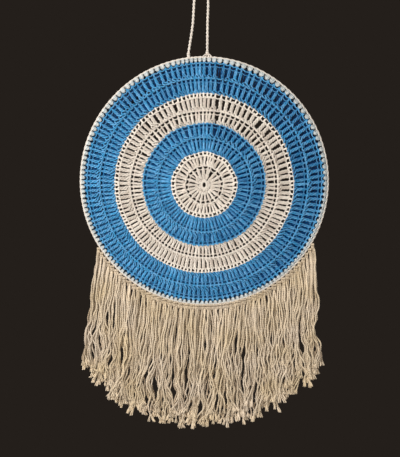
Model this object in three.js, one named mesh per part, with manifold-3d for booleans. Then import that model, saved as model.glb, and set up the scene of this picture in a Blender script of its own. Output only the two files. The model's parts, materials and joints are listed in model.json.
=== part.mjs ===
// Crochet dream catcher: a wire hoop, a web crocheted in rounds inside it, an edging worked
// over the wire, a fringe of knotted tassels along the lower arc and a cord loop to hang it by.
// Millimetres, +Z up, the front faces -Y. The origin is where the nail bears inside the loop.

import * as THREE from 'three';
import { mergeVertices } from 'three/addons/utils/BufferGeometryUtils.js';
import initManifold from 'manifold-3d';

const kernel = await initManifold();
kernel.setup();

// Hoop and edging
const WIRE_DIAMETER = 4;
const WIRE_SIDES = 6;
const HOOP_SEGMENTS = 60;
const EDGING_THICKNESS = 1.2;
const EDGING_PLAY = 0.3;
const EDGING_MOUTH_HALF_DEG = 36;

// Web
const CENTRE_HOLE_RADIUS = 2.2;
const CENTRE_RING_WIDTH = 7.2;
const WEB_THICKNESS = 3.2;
const WEB_DROP = 5;
const CHAIN_HEIGHT = 2.2;
const GAP_SHARE = 0.3;
const ROUND_PLAY = 0.5;
const ROUND_1_HEIGHT = 13.9;
const ROUND_2_HEIGHT = 15.1;
const ROUND_3_HEIGHT = 18.7;
const ROUND_4_HEIGHT = 16.3;
const ROUND_5_HEIGHT = 15.7;
const ROUND_6_HEIGHT = 17.5;
const ROUND_7_HEIGHT = 18.7;
const ROUND_8_HEIGHT = 17.4;
const ROUNDS = [
  { name: 'round_1_cream', height: ROUND_1_HEIGHT, gaps: 10, yarn: 'cream' },
  { name: 'round_2_cream', height: ROUND_2_HEIGHT, gaps: 20, yarn: 'cream' },
  { name: 'round_3_blue', height: ROUND_3_HEIGHT, gaps: 27, yarn: 'blue' },
  { name: 'round_4_blue', height: ROUND_4_HEIGHT, gaps: 33, yarn: 'blue' },
  { name: 'round_5_cream', height: ROUND_5_HEIGHT, gaps: 43, yarn: 'cream' },
  { name: 'round_6_cream', height: ROUND_6_HEIGHT, gaps: 49, yarn: 'cream' },
  { name: 'round_7_blue', height: ROUND_7_HEIGHT, gaps: 56, yarn: 'blue' },
  { name: 'round_8_blue', height: ROUND_8_HEIGHT, gaps: 62, yarn: 'blue' },
];

// Hanging cord, from the nail down to the hoop
const CORD_DIAMETER = 3;
const CORD_SIDES = 8;
const CORD_STEPS = 44;
const LOOP_RADIUS = 7.8;
const HANG_DROP = 78;
const HOOP_SIDE_STEP = 3.6;
const LEFT_TIE_X = -19;
const RIGHT_TIE_X = 3.6;
const LEFT_LEG_BOW = 1.2;

// Cord ties on top of the edging
const TIE_KNOT_RADIUS = 1.9;
const TIE_LEG_DIAMETER = 1.6;
const TIE_HEIGHT = 3.6;
const LEFT_TIE_SPREAD = 2;
const RIGHT_TIE_SPREAD = 5.5;

// Fringe
const TASSEL_COUNT = 46;
const FRINGE_LEFT_DEG = 32.4;
const FRINGE_RIGHT_DEG = 30.2;
const TASSEL_LENGTH = 150;
const TASSEL_RAGGEDNESS = 4;
const TASSEL_RAGGED_TURN = 2.4;
const TASSEL_SPLAY = 0.12;
const TASSEL_PLAY = 0.5;
const KNOT_RADIUS = 2.6;
const KNOT_SIDES = 6;
const STRAND_RADIUS = 1.2;
const STRAND_SIDES = 3;
const STRAND_STEPS = 3;
const STRAND_DEPTH = 2.4;
const STRAND_SPREAD_LENGTH = 20;

// Fits
const SEAT_GAP = 0.3;
const WELD_DISTANCE = 1e-3;

// Sizes that follow from the ones above
const wireRadius = WIRE_DIAMETER / 2;
const edgingBore = wireRadius + EDGING_PLAY;
const edgingRadius = edgingBore + EDGING_THICKNESS;
const centreRingRadius = CENTRE_HOLE_RADIUS + CENTRE_RING_WIDTH;
const webRadius = ROUNDS.reduce((radius, round) => radius + round.height, centreRingRadius);
const hoopRadius = webRadius + SEAT_GAP + edgingRadius;
const rimRadius = hoopRadius + edgingRadius;
const hoopCentre = new THREE.Vector3(HOOP_SIDE_STEP, 0, -HANG_DROP - rimRadius);

const YARNS = {
  cream: { color: 0xdccbb6, roughness: 0.92, metalness: 0 },
  blue: { color: 0x4a8fc7, roughness: 0.9, metalness: 0 },
  fringe: { color: 0xc9b28f, roughness: 0.92, metalness: 0 },
  wire: { color: 0xb9b6b0, roughness: 0.35, metalness: 1 },
};

function piece(name, geometry, yarn, position = hoopCentre) {
  const mesh = new THREE.Mesh(geometry, new THREE.MeshStandardMaterial(YARNS[yarn]));
  mesh.name = name;
  mesh.position.copy(position);
  return mesh;
}

function toManifold(geometry) {
  const bare = new THREE.BufferGeometry();
  bare.setAttribute('position', geometry.getAttribute('position'));
  bare.setIndex(geometry.getIndex());
  const merged = mergeVertices(bare, WELD_DISTANCE);
  return new kernel.Manifold(new kernel.Mesh({
    numProp: 3,
    vertProperties: new Float32Array(merged.getAttribute('position').array),
    triVerts: new Uint32Array(merged.getIndex().array),
  }));
}

function fuse(geometries) {
  const solid = geometries.map(toManifold).reduce((whole, next) => whole.add(next));
  const { vertProperties, triVerts } = solid.getMesh();
  const geometry = new THREE.BufferGeometry();
  geometry.setAttribute('position', new THREE.BufferAttribute(vertProperties, 3));
  geometry.setIndex(new THREE.BufferAttribute(triVerts, 1));
  geometry.computeVertexNormals();
  return geometry;
}

// A round tube along a curve, closed at both ends.
function tube(curve, radius, sides, steps) {
  const outline = [];
  for (let side = 0; side < sides; side += 1) {
    const angle = (2 * Math.PI * side) / sides;
    outline.push(new THREE.Vector2(radius * Math.cos(angle), radius * Math.sin(angle)));
  }
  const options = { steps, bevelEnabled: false, extrudePath: curve };
  return new THREE.ExtrudeGeometry(new THREE.Shape(outline), options);
}

// The wire ring, its axis along Y.
function hoop() {
  const ring = new THREE.TorusGeometry(hoopRadius, wireRadius, WIRE_SIDES, HOOP_SEGMENTS);
  return piece('hoop_wire', ring.rotateX(Math.PI / 2), 'wire');
}

// A channel round the wire, open towards the web where the last round joins it.
function edging() {
  const outerPoints = 8;
  const innerPoints = 7;
  const mouth = THREE.MathUtils.degToRad(EDGING_MOUTH_HALF_DEG);
  const boreStep = (2 * (Math.PI - mouth)) / (innerPoints - 1);
  const boreCorner = edgingBore / Math.cos(boreStep / 2);
  const onArc = (radius, share) => {
    const angle = -Math.PI + mouth + share * 2 * (Math.PI - mouth);
    return new THREE.Vector2(hoopRadius + radius * Math.cos(angle), radius * Math.sin(angle));
  };
  const profile = [];
  for (let i = 0; i < outerPoints; i += 1) {
    profile.push(onArc(edgingRadius, i / (outerPoints - 1)));
  }
  for (let i = innerPoints - 1; i >= 0; i -= 1) {
    profile.push(onArc(boreCorner, i / (innerPoints - 1)));
  }
  profile.push(profile[0].clone());
  return piece('edging', new THREE.LatheGeometry(profile, HOOP_SEGMENTS), 'cream');
}

// The web hangs a little low in its hoop: the drop is full at the centre and none at the rim.
function webPoint(radius, angle, depth) {
  const drop = WEB_DROP * (1 - (radius / webRadius) ** 3);
  return [radius * Math.cos(angle), depth, radius * Math.sin(angle) - drop];
}

// A flat ring cut from a grid of cells: the cells given are solid, the rest are gaps.
function ringFromCells(radii, angles, isSolid) {
  const positions = [];
  const indices = [];
  const corner = (a, r, back) => 2 * ((a % angles.length) * radii.length + r) + (back ? 1 : 0);
  for (const angle of angles) {
    for (const radius of radii) {
      positions.push(...webPoint(radius, angle, -WEB_THICKNESS / 2));
      positions.push(...webPoint(radius, angle, WEB_THICKNESS / 2));
    }
  }
  const quad = (p, q, r, s) => indices.push(p, q, r, p, r, s);
  const wall = (a0, r0, a1, r1) => quad(
    corner(a1, r1, true), corner(a0, r0, true), corner(a0, r0, false), corner(a1, r1, false));
  const solidAt = (a, r) => {
    const inRing = r >= 0 && r < radii.length - 1;
    return inRing && isSolid((a + angles.length) % angles.length, r);
  };
  for (let a = 0; a < angles.length; a += 1) {
    for (let r = 0; r < radii.length - 1; r += 1) {
      if (!solidAt(a, r)) continue;
      const square = [[a, r], [a + 1, r], [a + 1, r + 1], [a, r + 1]];
      quad(...square.map(([i, j]) => corner(i, j, true)));
      quad(...square.reverse().map(([i, j]) => corner(i, j, false)));
      if (!solidAt(a, r - 1)) wall(a, r, a + 1, r);
      if (!solidAt(a + 1, r)) wall(a + 1, r, a + 1, r + 1);
      if (!solidAt(a, r + 1)) wall(a + 1, r + 1, a, r + 1);
      if (!solidAt(a - 1, r)) wall(a, r + 1, a, r);
    }
  }
  const geometry = new THREE.BufferGeometry();
  geometry.setAttribute('position', new THREE.Float32BufferAttribute(positions, 3));
  geometry.setIndex(indices);
  geometry.computeVertexNormals();
  return geometry;
}

function centreRing() {
  const sides = 24;
  const angles = Array.from({ length: sides }, (_, i) => (2 * Math.PI * i) / sides);
  const radii = [CENTRE_HOLE_RADIUS, centreRingRadius];
  return piece('centre_ring', ringFromCells(radii, angles, () => true), 'cream');
}

// One round of tall stitches: posts that stand on the round before, under a chain that joins
// their tops, with a gap left between each post and the next.
function round({ name, height, gaps, yarn }, inner) {
  const high = inner + height;
  const radii = [inner + ROUND_PLAY, high - CHAIN_HEIGHT, high];
  const sector = (2 * Math.PI) / gaps;
  const angles = [];
  for (let gap = 0; gap < gaps; gap += 1) {
    angles.push(sector * gap, sector * (gap + GAP_SHARE));
  }
  const isPost = (a) => a % 2 === 1;
  const isChain = (r) => r === 1;
  return piece(name, ringFromCells(radii, angles, (a, r) => isPost(a) || isChain(r)), yarn);
}

function web() {
  let inner = centreRingRadius;
  return ROUNDS.map((spec) => {
    const made = round(spec, inner);
    inner += spec.height;
    return made;
  });
}

// The point of the wire's centre line that lies this far to the side of the hoop's centre.
function wireTop(sideStep) {
  const height = Math.sqrt(hoopRadius ** 2 - sideStep ** 2);
  return new THREE.Vector3(sideStep, 0, height).add(hoopCentre);
}

function aboveWire(sideStep, lift) {
  return wireTop(sideStep).add(new THREE.Vector3(0, 0, lift));
}

function tieKnotCentre(sideStep) {
  return aboveWire(sideStep, edgingRadius + TIE_HEIGHT);
}

function rod(from, to, diameter, sides) {
  return tube(new THREE.LineCurve3(from, to), diameter / 2, sides, 1);
}

// A small knot at the end of the cord, with two legs that go down into the edging.
function cordTie(name, sideStep, spread) {
  const knotColumns = 8;
  const knotRows = 6;
  const legSides = 6;
  const centre = tieKnotCentre(sideStep);
  const knot = new THREE.SphereGeometry(TIE_KNOT_RADIUS, knotColumns, knotRows);
  const footLift = edgingRadius + SEAT_GAP + TIE_LEG_DIAMETER / 2;
  const legs = [-spread, spread].map((reach) => {
    const foot = aboveWire(sideStep + reach, footLift).sub(centre);
    return rod(new THREE.Vector3(0, 0, 0), foot, TIE_LEG_DIAMETER, legSides);
  });
  return piece(name, fuse([knot, ...legs]), 'cream', centre);
}

// The cord runs from the left tie up to the nail, over it and down to the right tie.
function hangingCord() {
  const endLift = new THREE.Vector3(0, 0, TIE_KNOT_RADIUS + SEAT_GAP);
  const leftEnd = tieKnotCentre(LEFT_TIE_X).add(endLift);
  const rightEnd = tieKnotCentre(RIGHT_TIE_X).add(endLift);
  const loopCentreZ = CORD_DIAMETER / 2 - LOOP_RADIUS;
  const loopPoint = (angle) => new THREE.Vector3(
    -LOOP_RADIUS * Math.cos(angle), 0, loopCentreZ + LOOP_RADIUS * Math.sin(angle));
  const leftMiddle = leftEnd.clone().lerp(loopPoint(0), 0.5);
  leftMiddle.x += LEFT_LEG_BOW;
  const rightMiddle = rightEnd.clone().lerp(loopPoint(Math.PI), 0.5);
  const loopAngles = [0, 0.25, 0.5, 0.75, 1].map((share) => share * Math.PI);
  const route = [leftEnd, leftMiddle, ...loopAngles.map(loopPoint), rightMiddle, rightEnd];
  const curve = new THREE.CatmullRomCurve3(route, false, 'centripetal');
  const cord = tube(curve, CORD_DIAMETER / 2, CORD_SIDES, CORD_STEPS);
  return piece('hanging_cord', cord, 'cream', new THREE.Vector3(0, 0, 0));
}

// Three strands of one tassel, fanned in depth, inside a slot of this width.
function strandCurves(knotX, slotWidth, length) {
  const sideRoom = Math.max(0, slotWidth / 2 - STRAND_RADIUS - TASSEL_PLAY / 2);
  const lanes = [
    { side: -sideRoom, depth: -STRAND_DEPTH, cut: 0 },
    { side: sideRoom, depth: 0, cut: TASSEL_RAGGEDNESS },
    { side: 0, depth: STRAND_DEPTH, cut: TASSEL_RAGGEDNESS / 2 },
  ];
  return lanes.map(({ side, depth, cut }) => {
    const end = length - cut;
    const lean = (reach) => knotX * TASSEL_SPLAY * (reach / TASSEL_LENGTH);
    const spread = Math.min(STRAND_SPREAD_LENGTH, end / 2);
    return new THREE.CatmullRomCurve3([
      new THREE.Vector3(side / 2, depth / 4, 0),
      new THREE.Vector3(side + lean(spread), depth, -spread),
      new THREE.Vector3(side + lean(end), depth, -end),
    ], false, 'centripetal');
  });
}

// One tassel: a knot like a short barrel lying along X, and the strands that hang from it.
function tassel(index) {
  const arc = Math.PI - THREE.MathUtils.degToRad(FRINGE_LEFT_DEG + FRINGE_RIGHT_DEG);
  const pitch = arc / TASSEL_COUNT;
  const angle = Math.PI + THREE.MathUtils.degToRad(FRINGE_LEFT_DEG) + (index + 0.5) * pitch;
  const slotWidth = pitch * rimRadius * Math.abs(Math.sin(angle));
  const knotLength = slotWidth - TASSEL_PLAY;
  const seat = rimRadius + SEAT_GAP
    + Math.abs(Math.cos(angle)) * knotLength / 2 + Math.abs(Math.sin(angle)) * KNOT_RADIUS;
  const centre = new THREE.Vector3(seat * Math.cos(angle), 0, seat * Math.sin(angle));
  const ragged = TASSEL_RAGGEDNESS * Math.sin(TASSEL_RAGGED_TURN * index);
  const knot = new THREE.CylinderGeometry(KNOT_RADIUS, KNOT_RADIUS, knotLength, KNOT_SIDES);
  const strands = strandCurves(centre.x, slotWidth, TASSEL_LENGTH + ragged)
    .map((curve) => tube(curve, STRAND_RADIUS, STRAND_SIDES, STRAND_STEPS));
  const name = `tassel_${String(index + 1).padStart(2, '0')}`;
  const whole = fuse([knot.rotateZ(Math.PI / 2), ...strands]);
  return piece(name, whole, 'fringe', centre.add(hoopCentre));
}

const dreamCatcher = new THREE.Group();
dreamCatcher.name = 'crochet_dream_catcher';
dreamCatcher.add(hoop(), edging(), centreRing(), ...web());
dreamCatcher.add(hangingCord());
dreamCatcher.add(cordTie('cord_tie_left', LEFT_TIE_X, LEFT_TIE_SPREAD));
dreamCatcher.add(cordTie('cord_tie_right', RIGHT_TIE_X, RIGHT_TIE_SPREAD));
for (let index = 0; index < TASSEL_COUNT; index += 1) {
  dreamCatcher.add(tassel(index));
}

export default dreamCatcher;
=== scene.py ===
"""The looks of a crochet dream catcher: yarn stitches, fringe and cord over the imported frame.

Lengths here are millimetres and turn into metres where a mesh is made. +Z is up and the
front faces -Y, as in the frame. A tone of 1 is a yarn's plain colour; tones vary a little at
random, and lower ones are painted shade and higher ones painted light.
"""
import json
import math

import bpy
import numpy as np
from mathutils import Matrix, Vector


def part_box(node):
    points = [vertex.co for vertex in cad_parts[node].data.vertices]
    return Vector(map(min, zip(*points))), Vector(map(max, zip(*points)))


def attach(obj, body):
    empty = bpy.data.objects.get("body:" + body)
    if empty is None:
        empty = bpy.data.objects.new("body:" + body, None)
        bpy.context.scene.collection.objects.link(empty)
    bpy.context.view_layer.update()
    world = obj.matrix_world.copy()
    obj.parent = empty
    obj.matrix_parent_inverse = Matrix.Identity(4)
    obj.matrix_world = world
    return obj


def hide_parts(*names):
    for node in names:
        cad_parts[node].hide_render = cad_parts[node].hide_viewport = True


SEED = 11

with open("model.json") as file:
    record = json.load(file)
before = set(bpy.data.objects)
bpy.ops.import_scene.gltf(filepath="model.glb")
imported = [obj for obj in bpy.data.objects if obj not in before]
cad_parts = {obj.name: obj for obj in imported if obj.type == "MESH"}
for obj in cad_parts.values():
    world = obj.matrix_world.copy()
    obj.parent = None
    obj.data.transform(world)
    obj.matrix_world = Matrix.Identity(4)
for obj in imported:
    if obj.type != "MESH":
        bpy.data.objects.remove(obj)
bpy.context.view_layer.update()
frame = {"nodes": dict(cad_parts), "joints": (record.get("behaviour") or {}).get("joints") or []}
rng = np.random.default_rng(SEED)

MM = 0.001
FULL_TURN = 2 * math.pi
SIDEWAYS = (1, 0, 0)
DEPTHWISE = (0, 1, 0)
UPWARD = (0, 0, 1)

# The photograph's frame at the object's plane
PHOTO_HEIGHT = 457
PIXEL = 1.2058
VIEW_X = -1.57
VIEW_Z = -285.5
CAMERA_DISTANCE = 1500
CAMERA_REACH = 20000
SENSOR = 36

# Yarn, its radii, twist and tones
PLIES = 3
YARN_SIDES = 6
PLY_DEPTH = 0.13
YARN_LAY = 7.5
WEB_YARN = 0.95
FRINGE_YARN = 0.98
TONE_SPREAD = 0.05
# Below this tone, painted shade has turned a yarn fully to its deep colour and darkens it further
DEEP_SHADE_BELOW = 0.45
# Painted shade on the blue posts, deepest at the right
BLUE_RIGHT_SHADE = 0.14
UV_LENGTH = 10
UV_SHIFT = 50
LAST_STEP_SHARE = 0.1

# Yarn material
NOISE_RANGE = (0.3, 0.7)
FIBRE_STRETCH = (1.6, 14.0, 1.0)
FIBRE_DETAIL = 3.0
FIBRE_TONES = (0.88, 1.1)
MOTTLE_SCALE = 90.0
MOTTLE_TONES = (0.94, 1.06)
PATCH_SCALE = 330.0
FRINGE_PATCH_SCALE = 28.0
PATCH_DETAIL = 1.0
# Painted shade in the creases between plies
PLY_CREASE_SHADE = 0.07
PLY_CREASE_MIDDLE = 0.97
BRIGHTEST = 1.4
BUMP_STRENGTH = 0.45
BUMP_DISTANCE = 0.4
YARN_ROUGHNESS = 0.9
SHEEN_ROUGHNESS = 0.6
COTTON_SHEEN = 0.2
COTTON_GLOSS = 0.25
BLUE_SHEEN = 0.0
BLUE_GLOSS = 0.1

# Hoop wire
WIRE_STEPS = 240
WIRE_SIDES = 12
WIRE_FIT = 0.98
NO_LAY = 1e6
MARK_STRETCH = (0.3, 30.0, 1.0)
MARK_DETAIL = 4.0
MARK_TONES = (0.85, 1.1)
MARK_ROUGHNESS = (0.3, 0.5)

# Web, its rounds from the centre out
WEB_DROP = 5
WEB_DROP_POWER = 3
STITCHES = (22, 46, 70, 70, 106, 106, 134, 134)
POST_WIDTH = (4.2, 3.9, 4.3, 4.5, 3.7, 4.7, 4.3, 4.3)
SHORT_STITCHES = {2: 46, 6: 134}
ROUND_SHIFT = 0.3

# Places of the stitches along a ring
ANGLE_SAMPLES = 3600
ANGLE_JITTER = 0.07
CROWDING = 0.19
SPARSE_DEG = 65
EVEN_RADIUS = 90
SEAM_X = 15
SEAM_PUSH = 0.2
SEAM_STITCHES = 2
CROWD_AT_SEAM = 0.4
CROWD_FROM_SEAM_DEG = 11
CROWD_HALF_DEG = 9
RING_WOBBLE = 0.45
RING_WAVES = 4
RING_WAVE_COUNTS = (3, 12)

# Centre of the web
HOLE_ROPE = 3.7
HOLE_OVAL = 0.14
HOLE_ROPE_DEPTH = -0.7
HOLE_ROPE_YARN = 0.85
HOLE_ROPE_OFFSET = 0.6
CENTRE_SEED = 41
CENTRE_STITCHES = 12
CENTRE_STEPS = 10
CENTRE_START = 0.6
CENTRE_LOOPS = 8.2
CENTRE_YARN = 0.75
CENTRE_STRAND_STEP = 0.85
CENTRE_DEPTH_RISE = (0, 0.4, 1)
CENTRE_DEPTHS = (-0.6, -0.9, 0.2)

# Tall stitches, by their rise from 0 at the foot to 1 at the head
POST_STEPS = 20
POST_STRANDS = 3
POST_TWIST = 1.3
POST_PHASE = 0.2
POST_FLATNESS = 0.75
POST_YARN_SHARE = 0.55
POST_DEPTH_RISE = (0, 0.2, 0.85, 1)
POST_DEPTHS = (0.4, 0.0, -0.1, -0.6)
FOOT_SHARE = 0.7
FOOT_OVERLAP = 1.25
FOOT_EDGE = 4
CLOSED_ROOM = (4.5, 7.5)
CLOSED_RISE = (0.28, 0.17)
CLOSED_SPREAD = 0.35
SLIT_LEAST = 0.85
SLIT_SPREAD = 0.4
HEAD_RISE = (0.7, 0.78)
HEAD_SHARE = 0.58

# Strands behind the blue posts, in painted shade where they show between them
BACK_SHARES = (0.22, 0.5, 0.78)
BACK_STEPS = 7
BACK_FROM = 0.04
BACK_DEPTH = 2.0
BACK_DEPTH_START = 0.3
BACK_DEPTH_RISE = (0, 0.25)
BACK_YARN = 1.1
BACK_PAINTED_SHADE = 0.43
BACK_SHADE_RANGE = 0.2
BACK_DARKEST_DEG = 45
BACK_SEEN_FROM = 0.25

# Chains on top of the rounds, with tones for the chain and for the strand below it: painted
# light on the cream chain and painted shade on the strand below
CHAIN_STEPS = 8
CHAIN_YARN = 0.55
CHAIN_STRAND_OFFSET = 0.34
CHAIN_DEPTH = -1.35
CHAIN_WAVE = 0.6
CREAM_CHAIN_LIGHT_AND_SHADE = (1.1, 0.98)
BLUE_CHAIN_TONE_AND_SHADE = (1.0, 0.82)
LOWER_CHAIN_STEP = 3.9
LOWER_CHAIN_YARN = 0.55
LOWER_CHAIN_DEPTH = -0.9

# Last round, inside and outside the web's edge
LAST_TOP_INSIDE = 0.9
JOIN_TOP_OUTSIDE = 2.7
JOIN_STRAND_STEP = 0.75
JOIN_TONE = 1.0

# Short stitches where cream changes to blue
SHORT_STEPS = 9
SHORT_ROW_INSIDE = 3.4
SHORT_ROW_OUTSIDE = 2.0
SHORT_YARN = 0.62
# Painted light that brightens the short stitches and the strand along their tops
SHORT_PAINTED_LIGHT = 1.2
SHORT_STRAND_STEP = 0.45
SHORT_DEPTH_RISE = (0, 0.3, 0.7, 1)
SHORT_DEPTHS = (-0.4, -1.4, -1.5, -0.3)
SHORT_TOP_STEPS = 6
SHORT_TOP_STEP = 0.9
SHORT_TOP_WAVE = 0.35
SHORT_TOP_YARN = 0.42
SHORT_TOP_DEPTH = -1.2
ROW_AFTER_SHORT = 0.9

# Edging over the wire, its radii counted from the web's edge
EDGING_STITCHES = 150
EDGING_STEPS = 22
EDGING_JITTER = 0.03
# Painted shade over the right half of the edging
EDGING_RIGHT_SHADE = 0.2
LEG_OFFSETS = (-1.5, -0.5, 0.5, 1.5)
# Painted light on the middle legs of each stitch and painted shade on the outer ones, at the
# creases
LEG_LIGHT_AND_SHADE = (0.93, 1.06, 1.06, 0.93)
LEG_YARN_SHARE = 0.42
LEG_YARN_LEAST = 0.55
LEG_YARN_MOST = 0.78
LEG_INNER = 1.5
LEG_STRETCH = 0.8
LEG_OUTER = 6.3
LEG_DEPTH = 3.1
LEG_SQUARENESS = 0.62
BEAD_STEPS = (0.3, 1.3, 2.3)
BEAD_NARROWING = (0.6, 0.36, 0.1)
RIM_HOLE = 1.5
RIM_HOLE_SPAN = (3.8, 4.4)
RIM_CHAIN = 6.0
RIM_CHAIN_DEPTH = -2.3
RIM_YARN = 0.9
RIM_STRAND_OFFSET = 0.45

# Cord ties
LEFT_TIE_SPREAD = 1.2
RIGHT_TIE_SPREAD = 5.5
TIE_KNOT_DROP = 1.9
TIE_WRAP_STEPS = 16
TIE_WRAP_LIFTS = (-0.9, 0.9)
TIE_WRAP_RADIUS = 1.3
TIE_WRAP_YARN = 0.85
TIE_LEG_STEPS = 14
TIE_LEG_SHARES = (-1, -1 / 3, 1 / 3, 1)
TIE_LEG_YARN = 0.75
TIE_LEG_FACING = (1, 0.3, 0)
TIE_LEG_LEAN_DEG = 62
TIE_LEG_OUT = 3.9

# Tassels
TASSEL_COUNT = 46
TRIM = 2
TRIM_SLOPE = 0.015
RIGHT_LONGER = 14
RIGHT_LONGER_POWER = 6
STRANDS_PER_TASSEL = (8, 9)
STRAND_STEP = 2.3
STRAND_LAY = 12
STRAND_PLY_DEPTH = 0.07
STRAND_SHORTER = (-17, -2)
STRAND_TONE_SPREAD = 0.1
# Painted shade that deepens along each strand towards its end
STRAND_SHADE_TOWARDS_END = (1.03, 0.9)
LANE_JITTER = 0.3
FRINGE_DEPTH = 2.6
# Painted shade on the strands at the back of a tassel and painted light on those at the front
BACK_SHADE = 0.12
SWAY = 1.8
SWAY_POWER = 1.5

# Course of a strand; each kink is a length and a height
STRAND_KINKS = ((14, 0.4), (26, 0.75), (44, 1.0), (90, 1.2))
DEPTH_KINKS = ((20, 0.35), (45, 0.7))
TASSEL_KINKS = ((40, 0.6), (85, 1.3))
KINK_LENGTHS = (0.75, 1.3)
KINK_HEIGHTS = (0.5, 1.2)
BUNCH = (0.35, 0.7)
FAN = (0.5, 1.1)
SPREAD_REACH = (3, 16, 50, 110)
SETTLE_LENGTH = 70
SETTLE_RANGE = (0.55, 1.4)
SHARED_FROM = 20
SHARED_LENGTH = 60
SHARED_MOST = 1.3
KICK = 3.0
KICK_LENGTH = 28
SPLAY = 0.073
LEAN = -8
LEAN_LENGTH = 150
RIGHT_BULGE = 5
RIGHT_BULGE_POWER = 4
RIGHT_BULGE_LENGTH = 15

# Sway of the whole fringe: each wave's height, width, length and phase, and one parting
DRIFT_WAVES = ((2.0, 83, 210, 0), (1.5, 37, -130, 1), (0.9, 21, 80, 2))
DRIFT_LENGTH = 60
PARTING_X = 50
PARTING_EDGE = 4
PARTING_WIDTH = 25
PARTING_HEIGHT = 2.6
PARTING_REACH = 66
PARTING_LENGTH = 34

# Frayed ends
FRAY_LENGTH = 7
FRAY_SHARES = (0.55, 1)
FRAY_START = -2
FRAY_STEPS = 6
FRAY_AIM_POINTS = 4
FRAY_PLIES = 5
FRAY_YARN = 0.6
FRAY_SIDES = 4
FRAY_WIDTH = 0.5
FRAY_FLARE = (0.08, 0.26)
FRAY_WAVE = 0.3
FRAY_WAVE_LENGTH = 1.7
FRAY_TONE = 1.28
FRAY_TONE_SPREAD = 0.06

# Knots of the tassels, and the arcs of their yarn over the rim
KNOT_RING = 2.1
KNOT_SIZES = (0.85, 1.12)
KNOT_YARN = 0.8
KNOT_LAY = 5
KNOT_STEPS = 16
KNOT_PITCH = 1.7
KNOT_ENDS = 1.6
KNOT_LEAST_ROOM = 0.4
KNOT_WAVE = 0.25
KNOT_TONE = 1.08
KNOT_TONE_SPREAD = 0.08
ARC_DEG = (30, 158)
ARC_STEPS = 9
ARC_FORWARD = 2.0
ARC_LIFT = 1.3
ARC_HEIGHT = 1.3

# Hanging cord, its route from the left tie over the nail to the right tie
CORD_YARN = 0.9
CORD_STRANDS = 2
CORD_STRAND_OFFSET = 0.78
CORD_LAY = 9
CORD_YARN_LAY = 5
CORD_SAMPLES = 240
ROUTE_STEPS = 60
CORD_ROUTE = [
    (-15.4, 0, -73.44), (-10.4, 0, -39.87),
    (-7.8, 0, -6.3), (-5.515, 0, -0.785), (0, 0, 1.5), (5.515, 0, -0.785), (7.8, 0, -6.3),
    (7.5, 0, -39.27), (7.2, 0, -72.24),
]

# Stage; a lamp is its name, its place and size in metres and its power in watts
FLOOR_Z = -1000
FLOOR_HALF = 1500
FLOOR_ROUGHNESS = 0.8
LAMPS = (
    ("key", (-0.9, -1.1, 0.3), 0.6, 22),
    ("fill", (0.6, -1.6, -0.5), 0.9, 1.5),
    ("back", (0.3, 1.4, 0.7), 0.9, 8),
)
LAMP_AIM = (0, 0, -0.25)
WORLD_LIGHT = (1.0, 0.99, 0.97, 1)
WORLD_STRENGTH = 0.58

# Colours, as sRGB: a yarn's two mottled tones and the deep colour of its painted shade
CREAM = (226, 217, 204)
CREAM_SHADE = (222, 209, 196)
CREAM_PAINTED_SHADE = (150, 124, 98)
BLUE = (62, 150, 198)
BLUE_SHADE = (114, 174, 216)
BLUE_PAINTED_SHADE = (0, 66, 122)
BEIGE = (209, 191, 168)
BEIGE_SHADE = (201, 180, 146)
BEIGE_PAINTED_SHADE = (122, 92, 60)
EDGING_WHITE = (214, 214, 208)
EDGING_SHADE = (200, 207, 208)
EDGING_PAINTED_SHADE = (104, 116, 118)
STEEL = (150, 150, 148)
FLOOR_GREY = (226, 223, 218)
BACKGROUND = (36, 31, 27)


def linear(colour):
    """An sRGB colour of 0 to 255 as the linear values that shader sockets take."""
    share = np.array(colour) / 255
    low = share / 12.92
    high = ((share + 0.055) / 1.055) ** 2.4
    return (*np.where(share <= 0.04045, low, high).tolist(), 1.0)


def unit(vectors):
    return vectors / np.linalg.norm(vectors, axis=-1, keepdims=True)


def box_mm(node):
    low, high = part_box(node)
    return np.array(low) / MM, np.array(high) / MM


rim_low, rim_high = box_mm("edging")
HOOP_CENTRE = (rim_low + rim_high) / 2
ROUND_NODES = sorted(name for name in frame["nodes"] if name.startswith("round_"))
ROUND_EDGES = [(box_mm(name)[1][0] - box_mm(name)[0][0]) / 2 for name in ROUND_NODES]
WEB_RADIUS = ROUND_EDGES[-1]
wire_low, wire_high = box_mm("hoop_wire")
WIRE_RADIUS = (wire_high[1] - wire_low[1]) / 2
HOOP_RADIUS = (wire_high[0] - wire_low[0]) / 2 - WIRE_RADIUS


# Camera

def make_camera():
    """The camera, which frames the object as the photograph does."""
    data = bpy.data.cameras.new("camera")
    data.sensor_width = SENSOR
    data.lens = SENSOR * CAMERA_DISTANCE / (PHOTO_HEIGHT * PIXEL)
    data.clip_end = CAMERA_REACH * MM
    camera = bpy.data.objects.new("camera", data)
    camera.location = (VIEW_X * MM, -CAMERA_DISTANCE * MM, VIEW_Z * MM)
    camera.rotation_euler = (math.pi / 2, 0, 0)
    bpy.context.collection.objects.link(camera)
    bpy.context.scene.camera = camera


# Materials

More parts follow.
